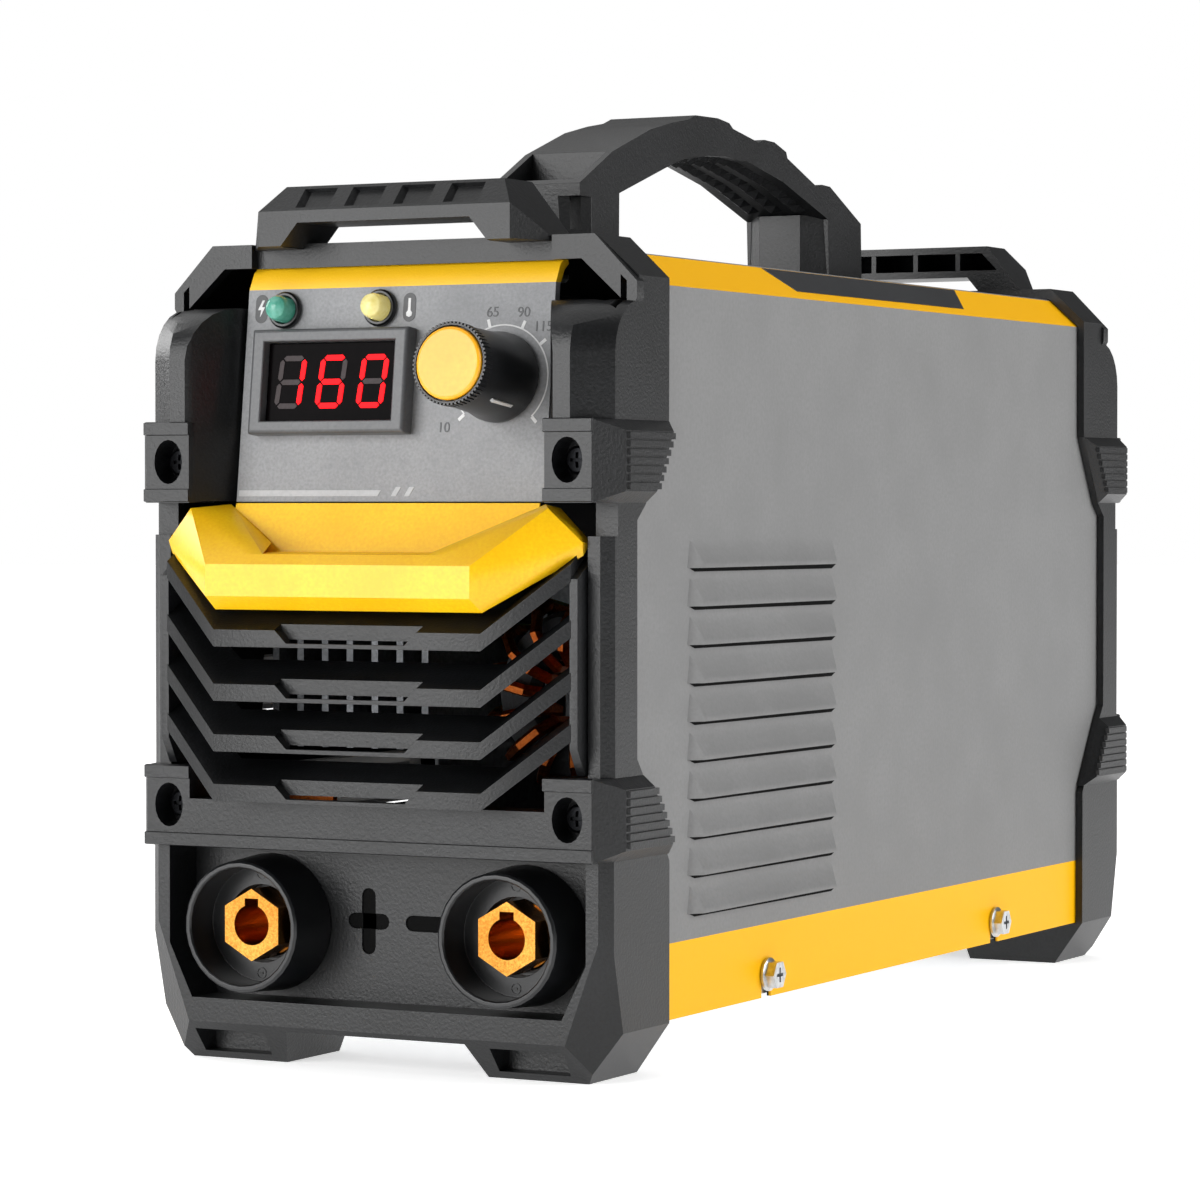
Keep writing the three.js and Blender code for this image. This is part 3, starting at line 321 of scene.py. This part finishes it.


# Painted shadow: a flat black strip under each hood's lip stands for the shade in the slot beneath
# it.
shade_black = grained("painted_slot_shade", "#040404", "#090909", 1.2, 0.005,
                     {"Roughness": 0.8, "Specular IOR Level": 0.1})
LOUVRE_TOP = 131.1
LOUVRE_PITCH = 10.1
LOUVRE_COUNT = 10
LOUVRE_FRONT = -126.5
LOUVRE_REAR = -34.6
LOUVRE_TAPER = 3
louvre_heights = [LOUVRE_TOP - i * LOUVRE_PITCH for i in range(LOUVRE_COUNT)]
slot_shadow_outlines = [[(LOUVRE_FRONT, z - 0.1), (LOUVRE_FRONT + LOUVRE_TAPER, z - 1.0),
               (LOUVRE_REAR - LOUVRE_TAPER, z - 1.3), (LOUVRE_REAR, z - 0.1)]
              for z in louvre_heights]
# Painted shadow strips: black lines laid on the sheet under each louvre lip.
for shadow_strip_name, slot_side in (("louvre_slot_shadows_right", 1), ("louvre_slot_shadows_left", -1)):
    raised(shadow_strip_name, slot_shadow_outlines, 0.02, 0.1, on_side(slot_side), shade_black,
           edge=0.02)


# The roof bend in mm: its upper edge (across, up) and its run down the slope (out, down).
BEND_EDGE = (57.4, 213.4)
BEND_SLOPE = (9.6, 8.8)


def on_bend(side):
    """Gives points on a roof bend: u mm along the machine, v mm down the slope."""
    down = Vector((BEND_SLOPE[0], 0, -BEND_SLOPE[1])).normalized()
    out = Vector((BEND_SLOPE[1], 0, BEND_SLOPE[0])).normalized()

    def place(u, v, w):
        point = Vector((BEND_EDGE[0], u, BEND_EDGE[1])) + down * v + out * w
        return Vector((point.x * side, point.y, point.z)) / 1000

    return place


# Printed polyester label: a flat, slightly shiny dark film.
label_film = grained("printed_polyester", "#2b2c2e", "#333436", 1.5, 0.005, {"Roughness": 0.3})
LABEL = [(-64.4, 0.7), (71.0, 0.7), (62.5, 9.9), (-55.6, 9.9)]
for label_name, label_side in (("label_right", 1), ("label_left", -1)):
    raised(label_name, [LABEL], 0.02, 0.16, on_bend(label_side), label_film)

# ---- Base pan --------------------------------------------------------------------------
# A folded tray of zinc-plated steel closes the underside. Its turned-up edges take the
# four side screws.
# Zinc plate: pale, slightly cloudy metal with a soft shine.
zinc_plate = grained("zinc_plated_steel", "#a9abad", "#d2d4d6", 1.4, 0.01,
                     {"Metallic": 1.0, "Roughness": 0.3})
rounded("base_pan", zinc_plate, 0.2)

# ---- Carry handle ----------------------------------------------------------------------
# An arched grip of black ABS, screwed to the roof at both feet. Stepped bands cross its
# top, and its underside has a grid of small pyramids for the fingers.
rounded("carry_handle", black_abs, 0.9)

GRIP_PATH = [(-30.6, 245.9), (-25.7, 247.3), (-8.9, 249.6), (3.1, 250.3), (17.1, 249.95),
             (42.1, 245.4), (71.5, 237.0)]
GRIP_PITCH = 6.4
GRIP_HALF = 2.9
GRIP_COLUMNS = (-8.0, 0.0, 8.0)
GRIP_DEPTH = 1.5
GRIP_SUNK = 0.4


def under_handle(distance):
    """Gives the place and the downward direction at a distance in mm along the underside."""
    for (y0, z0), (y1, z1) in zip(GRIP_PATH, GRIP_PATH[1:]):
        length = math.hypot(y1 - y0, z1 - z0)
        if distance <= length:
            along = Vector((0, y1 - y0, z1 - z0)) / length
            return Vector((0, y0, z0)) + along * distance, along, Vector((0, along.z, -along.y))
        distance -= length
    return None


def build_grip():
    """Stands rows of small pyramids down from the handle's underside, in one piece."""
    work = bmesh.new()
    distance = GRIP_PITCH
    while under_handle(distance + GRIP_HALF):
        middle, along, down = under_handle(distance)
        for column in GRIP_COLUMNS:
            centre = middle + Vector((column, 0, 0))
            base = [work.verts.new((centre + Vector((u * GRIP_HALF, 0, 0)) + along * v * GRIP_HALF
                                    - down * GRIP_SUNK) / 1000)
                    for u, v in ((-1, -1), (1, -1), (1, 1), (-1, 1))]
            tip = work.verts.new((centre + down * GRIP_DEPTH) / 1000)
            work.faces.new(base)
            for i in range(4):
                work.faces.new((base[i], base[(i + 1) % 4], tip))
        distance += GRIP_PITCH
    bmesh.ops.recalc_face_normals(work, faces=work.faces)
    mesh = bpy.data.meshes.new("handle_grip")
    work.to_mesh(mesh)
    work.free()
    mesh.materials.append(black_abs)
    piece = bpy.data.objects.new("handle_grip", mesh)
    scene.collection.objects.link(piece)
    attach(piece, "machine")


build_grip()

# ---- Control panel ---------------------------------------------------------------------
# A tilted grey ABS fascia with a textured printed film on it. The film has a yellow head
# band, a dial scale for the current, and a light strip above the bumper.
FOOT_Z = 148.5
FOOT_Y = -168.7
LEAN = 6.5 / 56.4
TILT = math.atan(LEAN)
HEAD_BAND = 0.2049


def on_panel(u, v, w):
    """Gives a point u mm across, at height v mm on the fascia, standing w mm off it."""
    y = FOOT_Y + (v - FOOT_Z) * LEAN
    return Vector((u, y - w * math.cos(TILT), v + w * math.sin(TILT))) / 1000


def printed_fascia():
    """Velvet-textured polycarbonate film: dull grey tooth, with the head band in yellow."""
    material = grained("printed_fascia_film", "#7c7d7f", "#8e8f91", 0.8, 0.06, {"Roughness": 0.5})
    tree = material.node_tree
    surface = next(n for n in tree.nodes if n.type == "BSDF_PRINCIPLED")
    grey = surface.inputs["Base Color"].links[0].from_socket
    place = add(tree, "TexCoord").outputs["Object"]
    height = add(tree, "SeparateXYZ", {"Vector": place}).outputs["Z"]
    head = add(tree, "Math", {0: height, 1: HEAD_BAND}, operation="GREATER_THAN")
    mixed = add(tree, "Mix", {"Factor": head.outputs[0], 6: grey, 7: srgb("#f2bc08")},
                data_type="RGBA")
    tree.links.new(mixed.outputs[2], surface.inputs["Base Color"])
    return material


rounded("control_panel", printed_fascia(), 0.25)

# Screen-printed ink: flat, clean and a little glossy against the film.
white_ink = grained("white_screen_ink", "#c9c9c9", "#d6d6d6", 1.0, 0.005, {"Roughness": 0.45})
grey_ink = grained("grey_screen_ink", "#48494b", "#525355", 1.0, 0.005, {"Roughness": 0.45})
dark_ink = grained("dark_screen_ink", "#2c2d2f", "#353638", 1.0, 0.005, {"Roughness": 0.4})

DIAL = (32.0, 180.3)
TICK_HALF = 0.45
SCALE_INNER = 13.6
SCALE_OUTER = 14.0
TICK_RADII = (13.9, 16.0)


def stroke(start, end, half):
    """Gives the outline of a straight bar from start to end, half as wide each side."""
    along = (Vector(end) - Vector(start)).normalized() * half
    across = Vector((-along.y, along.x))
    a, b = Vector(start), Vector(end)
    return [tuple(a + across), tuple(b + across), tuple(b - across), tuple(a - across)]


def ring_part(centre, inner, outer, start, end, steps):
    """Gives the outline of part of a flat ring between two angles in degrees."""
    turns = [math.radians(start + (end - start) * i / steps) for i in range(steps + 1)]
    far = [(centre[0] + outer * math.cos(a), centre[1] + outer * math.sin(a)) for a in turns]
    near = [(centre[0] + inner * math.cos(a), centre[1] + inner * math.sin(a)) for a in turns]
    return far + near[::-1]


TICK_TURNS = (222, 184, 145, 107, 67, 38, -46)
dial_marks = [ring_part(DIAL, SCALE_INNER, SCALE_OUTER, TICK_TURNS[-1], TICK_TURNS[0], 48)]
for turn in TICK_TURNS:
    tick_angle = math.radians(turn)
    tick_ends = [(DIAL[0] + r * math.cos(tick_angle), DIAL[1] + r * math.sin(tick_angle))
                 for r in TICK_RADII]
    dial_marks.append(stroke(tick_ends[0], tick_ends[1], TICK_HALF))
raised("dial_scale", dial_marks, 0.02, 0.12, on_panel, white_ink, edge=0.02)

# Each numeral is a thin printed text, set upright on the fascia.
NUMERALS = [("10", 15.8, 167.6), ("65", 28.5, 197.4), ("90", 37.7, 197.2), ("115", 43.6, 193.4)]
NUMERAL_HEIGHT = 2.7
for text, across, height in NUMERALS:
    lettering = bpy.data.curves.new("dial_number_" + text, "FONT")
    lettering.body = text
    lettering.size = NUMERAL_HEIGHT * 1.4 / 1000
    lettering.extrude = 0.00006
    lettering.align_x = "CENTER"
    lettering.align_y = "CENTER"
    lettering.materials.append(grey_ink)
    numeral = bpy.data.objects.new("dial_number_" + text, lettering)
    numeral.location = on_panel(across, height, 0.08)
    numeral.rotation_euler = (math.radians(90) - TILT, 0, 0)
    scene.collection.objects.link(numeral)
    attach(numeral, "machine")

STRIP_FOOT = 149.9
STRIP_HEAD = 151.5
DASH_HEAD = 152.3
strip_dashes = [[(-46, STRIP_FOOT), (-3, STRIP_FOOT), (-2.0, STRIP_HEAD), (-46, STRIP_HEAD)],
                [(1.0, STRIP_FOOT), (2.6, STRIP_FOOT), (4.0, DASH_HEAD), (2.4, DASH_HEAD)],
                [(5.0, STRIP_FOOT), (6.6, STRIP_FOOT), (8.0, DASH_HEAD), (6.4, DASH_HEAD)]]
pale_ink = grained("pale_grey_screen_ink", "#a4a5a7", "#afb0b2", 1.0, 0.005, {"Roughness": 0.45})
raised("fascia_strip", strip_dashes, 0.02, 0.12, on_panel, pale_ink, edge=0.02)

# ---- Current meter ---------------------------------------------------------------------
# A snap-in panel meter: a grey ABS bezel round a dark tinted window, with a three-digit
# red display behind it. Unlit segments stay just visible.
# Grey ABS from a polished tool: even, with a soft satin shine.
grey_abs = grained("grey_abs_satin", "#4b4c4e", "#57585a", 0.9, 0.02, {"Roughness": 0.36})
rounded("meter_bezel", grey_abs, 0.35)
# Tinted acrylic with an anti-glare coat: almost black and flat, with only a faint reflection.
tinted_acrylic = grained("coated_tinted_acrylic", "#060405", "#0a0708", 2.0, 0.001,
                         {"Roughness": 0.2, "IOR": 1.49, "Specular IOR Level": 0.02})
rounded("meter_window", tinted_acrylic, 0.1)


def glowing(name, colour, strength):
    """Lit segment: red epoxy that glows evenly, with a slight mottling of the diffuser."""
    return grained(name, colour, colour, 0.8, 0.002,
                   {"Roughness": 0.5, "Specular IOR Level": 0.1,
                    "Emission Color": srgb(colour), "Emission Strength": strength})


lit_red = glowing("lit_red_segment", "#ff1018", 1.3)
unlit_grey = grained("unlit_segment", "#37302f", "#40383a", 0.8, 0.002,
                     {"Roughness": 0.5, "Specular IOR Level": 0.2})
DIGIT_PITCH = 12.6
DIGIT_HALF_WIDTH = 3.4
DIGIT_HALF_HEIGHT = 6.3
SEGMENT_HALF = 0.72
SLANT = math.tan(math.radians(6))
METER_CENTRE = (-17.7, 179.75)
LIT = {"1": "bc", "6": "acdefg", "0": "abcdef"}


def segment_outline(letter):
    """Gives a segment of one digit as a bar with pointed ends, about the digit's middle."""
    w, h, t, gap = DIGIT_HALF_WIDTH, DIGIT_HALF_HEIGHT, SEGMENT_HALF, 0.3
    level = {"a": h, "g": 0, "d": -h}
    if letter in level:
        y, x0, x1 = level[letter], -w + gap, w - gap
        return [(x0, y), (x0 + t, y + t), (x1 - t, y + t),
                (x1, y), (x1 - t, y - t), (x0 + t, y - t)]
    x = w if letter in "bc" else -w
    y0, y1 = (gap, h - gap) if letter in "bf" else (-h + gap, -gap)
    return [(x, y0), (x + t, y0 + t), (x + t, y1 - t), (x, y1), (x - t, y1 - t), (x - t, y0 + t)]


lit_shapes, unlit_shapes = [], []
for place_in_row, digit in enumerate("160"):
    middle = METER_CENTRE[0] + (place_in_row - 1) * DIGIT_PITCH
    for letter in "abcdefg":
        outline = [(middle + u + v * SLANT, METER_CENTRE[1] + v)
                   for u, v in segment_outline(letter)]
        (lit_shapes if letter in LIT[digit] else unlit_shapes).append(outline)
raised("lit_segments", lit_shapes, 2.35, 2.6, on_panel, lit_red, edge=0.03)
raised("unlit_segments", unlit_shapes, 2.35, 2.55, on_panel, unlit_grey, edge=0.03)

# ---- Lamps -----------------------------------------------------------------------------
# Two stepped indicator lamps in black rings, green for power and yellow for heat. Each
# lens is tinted acrylic, and a small printed sign stands beside it.
# Tinted clear acrylic: glossy, with light glowing inside its colour.
green_lens = grained("green_acrylic_lens", "#3f9a82", "#76c2ae", 1.6, 0.004,
                     {"Roughness": 0.12, "IOR": 1.49, "Transmission Weight": 0.35,
                      "Emission Color": srgb("#5fb09c"), "Emission Strength": 0.1})
yellow_lens = grained("yellow_acrylic_lens", "#ddcf78", "#f0e8a8", 1.6, 0.004,
                      {"Roughness": 0.12, "IOR": 1.49, "Transmission Weight": 0.35,
                       "Emission Color": srgb("#e6da96"), "Emission Strength": 0.22})
# Plain black nylon, polished in the tool: darker and shinier than the frames.
black_nylon = grained("black_nylon_satin", "#101113", "#191a1c", 0.9, 0.015,
                      {"Roughness": 0.3, "IOR": 1.53})
rounded("power_lamp", green_lens, 0.15)
rounded("heat_lamp", yellow_lens, 0.15)
rounded("power_lamp_ring", black_nylon, 0.15)
rounded("heat_lamp_ring", black_nylon, 0.15)

BOLT = [(0.2, 2.3), (-1.1, -0.3), (-0.1, -0.3), (-0.4, -2.3), (1.1, 0.5), (0.1, 0.5), (0.9, 2.3)]
THERMOMETER = [(-0.4, 2.4), (-0.4, -0.8), (-0.9, -1.4), (-0.8, -2.2), (0, -2.6), (0.8, -2.2),
               (0.9, -1.4), (0.4, -0.8), (0.4, 2.4)]
PILL_RADIUS = 1.9
for sign_name, sign, across, height in (("power_sign", BOLT, -42.3, 199.8),
                                        ("heat_sign", THERMOMETER, 3.4, 199.3)):
    pill = []
    for angle in range(5, 360, 10):
        rise = math.sin(math.radians(angle))
        pill.append((across + PILL_RADIUS * math.cos(math.radians(angle)),
                     height + math.copysign(PILL_RADIUS, rise) + PILL_RADIUS * rise))
    raised(sign_name + "_ground", [pill], 0.02, 0.1, on_panel, dark_ink, edge=0.02)
    raised(sign_name, [[(across + u, height + v) for u, v in sign]], 0.1, 0.18, on_panel, white_ink,
           edge=0.02)

# ---- Current knob ----------------------------------------------------------------------
# A push-on knob on the dial's shaft: a flared black nylon skirt with a knurled neck, and a
# yellow cap pressed into its end. A white line on the skirt points at the scale.
rounded("knob_body", black_nylon, 0.3, "knob")
# Glossy ABS cap, a warmer yellow than the bumper.
warm_abs = grained("warm_yellow_abs", "#f3a60e", "#fbb420", 1.2, 0.008,
                   {"Roughness": 0.28, "IOR": 1.53})
rounded("knob_cap", warm_abs, 0.4, "knob")
KNURLS = 60
KNURL_RADIUS = 10.4
KNURL_FROM = 23.4
KNURL_TO = 27.0
BAR_FACES = ((0, 1, 2, 3), (7, 6, 5, 4), (0, 4, 5, 1), (1, 5, 6, 2), (2, 6, 7, 3), (3, 7, 4, 0))


def on_knob(turn, radius, w):
    """Gives a point on the knob at a turn in radians, a radius and w mm off the fascia."""
    return on_panel(DIAL[0] + radius * math.cos(turn), DIAL[1] + radius * math.sin(turn), w)


def around_knob(turn_start, turn_end, w0, w1, inner, outer):
    """Gives the eight corners of a small bar lying on the knob's side."""
    return [on_knob(t, r, w) for r in (inner, outer)
            for t, w in ((turn_start, w0), (turn_end, w0), (turn_end, w1), (turn_start, w1))]


def bars_on_knob(name, bars, material):
    """Makes one piece of small bars on the knob's side, which turns with the knob."""
    work = bmesh.new()
    for bar in bars:
        v = [work.verts.new(p) for p in around_knob(*bar)]
        for face in BAR_FACES:
            work.faces.new([v[i] for i in face])
    bmesh.ops.recalc_face_normals(work, faces=work.faces)
    mesh = bpy.data.meshes.new(name)
    work.to_mesh(mesh)
    work.free()
    mesh.materials.append(material)
    piece = bpy.data.objects.new(name, mesh)
    scene.collection.objects.link(piece)
    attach(piece, "knob")


knurl_step = math.tau / KNURLS
knurl_bars = [(i * knurl_step, (i + 0.5) * knurl_step, KNURL_FROM, KNURL_TO,
               KNURL_RADIUS - 0.5, KNURL_RADIUS + 0.25) for i in range(KNURLS)]
bars_on_knob("knob_knurls", knurl_bars, black_nylon)
POINTER = math.radians(-48)
POINTER_HALF = 0.04
pointer_bar = (POINTER - POINTER_HALF, POINTER + POINTER_HALF, 6.8, 17.0, 9.0, 11.2)
bars_on_knob("knob_pointer", [pointer_bar], white_ink)

# ---- Weld sockets ----------------------------------------------------------------------
# Two twist-lock sockets for the weld cables. Each has a black nylon body and a hexagonal
# brass insert, with a nut and a copper bar behind the front wall.
# Turned brass: warm yellow metal, bright, with faint tool marks.
turned_brass = grained("turned_brass", "#a86a26", "#d29a48", 0.6, 0.006,
                       {"Metallic": 1.0, "Roughness": 0.24})
# Copper under clear enamel: orange metal with a slightly amber, uneven shine.
enamelled_copper = grained("enamelled_copper", "#9c4a1e", "#cf7636", 0.9, 0.01,
                           {"Metallic": 1.0, "Roughness": 0.34})
for pole in ("positive", "negative"):
    rounded(f"socket_{pole}_housing", black_nylon, 0.4)
    rounded(f"socket_{pole}_insert", turned_brass, 0.2)
    rounded(f"socket_{pole}_nut", turned_brass, 0.3)
    rounded(f"busbar_{pole}", enamelled_copper, 0.2)

SOCKET_X = 38.65
SOCKET_Z = 36.5
INSULATOR_FLOOR_Y = -169.2
MARK_RISE = 13.2
MARK_RADII = (1.2, 1.5)
MARK_DASH = 0.5


def on_floor(u, v, w):
    """Gives points on the insulator floors, which face the front."""
    return Vector((u, INSULATOR_FLOOR_Y - w, v)) / 1000


socket_marks = []
for middle_x in (-SOCKET_X, SOCKET_X):
    for middle_z in (SOCKET_Z + MARK_RISE, SOCKET_Z - MARK_RISE):
        for start in (4, 184):
            socket_marks.append(
                ring_part((middle_x, middle_z), *MARK_RADII, start, start + 172, 10))
        socket_marks.append(stroke((middle_x - MARK_DASH, middle_z),
                                   (middle_x + MARK_DASH, middle_z), MARK_DASH / 2))
raised("socket_marks", socket_marks, -0.02, 0.2, on_floor, black_nylon, edge=0.03)

# ---- Polarity marks --------------------------------------------------------------------
# A plus and a minus are moulded into the socket wall as shallow recesses. Their floors are
# coloured near black, as painted shade in the recesses.
WALL_Y = -163.7
MARK_X = 8.75
MARK_Z = 38.0
UPRIGHT_REACH = 8.75
LEVEL_REACH = 6.25
MARK_HALF = 2.05


def on_wall(u, v, w):
    """Gives points on the socket wall; w below zero lies in the recessed marks."""
    return Vector((u, WALL_Y - w, v)) / 1000


def lozenge(centre, reach, half, upright):
    """Gives a bar with round ends, lying flat or standing upright."""
    ends = [(reach - half) * s for s in (1, -1)]
    shape = [(e + half * math.cos(math.radians(a)), half * math.sin(math.radians(a)))
             for e, first in zip(ends, (-90, 90)) for a in range(first, first + 181, 20)]
    return [(centre[0] + (v if upright else u), centre[1] + (u if upright else v))
            for u, v in shape]


plus, minus = (-MARK_X, MARK_Z), (MARK_X, MARK_Z)
mark_bars = [lozenge(plus, UPRIGHT_REACH, MARK_HALF, True),
             lozenge(plus, LEVEL_REACH, MARK_HALF, False),
             lozenge(minus, LEVEL_REACH, MARK_HALF, False)]
# Painted shade: near-black pieces line the floors of the recessed marks.
raised("polarity_marks", mark_bars, -0.88, -0.45, on_wall, shade_black, edge=0.02)

# ---- Screws ----------------------------------------------------------------------------
# Hex flange screws hold the cover to the pan and pan-head screws hold the handle. Both are
# zinc-plated steel. Eight long screws in black zinc sit deep in the corner blocks.
# Black zinc: the same steel, passivated nearly black with a dull shine.
black_zinc = grained("black_zinc_steel", "#111214", "#1e1f22", 1.4, 0.01,
                     {"Metallic": 0.8, "Roughness": 0.45})
for screw in [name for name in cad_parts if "_screw_" in name]:
    rounded(screw, black_zinc if screw.startswith("corner") else zinc_plate, 0.15)

# ---- Fan -------------------------------------------------------------------------------
# An axial fan blows through the rear wall: a square frame and a bladed rotor, both moulded
# in black PBT, behind a guard of welded and zinc-plated wire.
# Moulded PBT: plain black with an even, slightly waxy shine.
black_pbt = grained("black_pbt_moulded", "#151618", "#202123", 1.2, 0.01, {"Roughness": 0.38})
rounded("fan_frame", black_pbt, 0.3)
rounded("fan_rotor", black_pbt, 0.2, "fan")
rounded("fan_guard", zinc_plate, 0.15)

# ---- Power switch ----------------------------------------------------------------------
# A snap-in rocker switch in the rear wall. Its body is black nylon, and the yellow rocker
# tips about a pin through its middle.
rounded("switch_body", black_nylon, 0.4)
rounded("switch_rocker", warm_abs, 0.4, "rocker")

# ---- Cable gland -----------------------------------------------------------------------
# A domed black nylon gland is screwed into the rear wall. The mains lead would enter
# through it, but no lead is modelled.
rounded("cable_gland", black_nylon, 0.3)

# ---- Boards and electronics ------------------------------------------------------------
# Two circuit boards, two finned heat sinks, the storage capacitors, the transformer and the
# output choke fill the case. They are glimpsed through the grille and the fan guard.
# Extruded aluminium: pale grey metal, dulled by its fine drawn lines.
extruded_aluminium = grained("extruded_aluminium", "#6e7073", "#8f9194", 1.0, 0.01,
                             {"Metallic": 1.0, "Roughness": 0.5})
# Solder mask over glass epoxy: glossy deep green.
solder_mask = grained("green_solder_mask", "#0f4a2c", "#1b6b42", 2.5, 0.01, {"Roughness": 0.28})
# Sintered ferrite: dull charcoal with a fine powdery tooth.
sintered_ferrite = grained("sintered_ferrite", "#2a2b2d", "#3d3e40", 0.8, 0.03, {"Roughness": 0.7})
# Cold-rolled sheet steel: grey metal, a little cloudy.
bare_steel = grained("cold_rolled_steel", "#85878a", "#a8aaad", 2.0, 0.01,
                     {"Metallic": 1.0, "Roughness": 0.4})
# Shrunk PVC sleeve: black, smooth and slightly glossy.
black_sleeve = grained("shrunk_pvc_sleeve", "#151618", "#202123", 1.4, 0.008, {"Roughness": 0.32})
FINISHES = [
    (black_sleeve, ["meter_module", "bus_capacitor_1", "bus_capacitor_2"]),
    (solder_mask, ["control_board", "main_board"]),
    (bare_steel, ["board_bracket_left", "board_bracket_right", "choke_bracket"]),
    (extruded_aluminium, ["heat_sink_left", "heat_sink_right"]),
    (sintered_ferrite, ["transformer_core", "choke_core"]),
    (enamelled_copper, ["transformer_winding", "choke_winding"]),
    (zinc_plate, ["knob_shaft", "potentiometer"]),
]
for finish, node_names in FINISHES:
    for node_name in node_names:
        for material_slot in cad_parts[node_name].material_slots:
            material_slot.link = "OBJECT"
            material_slot.material = finish
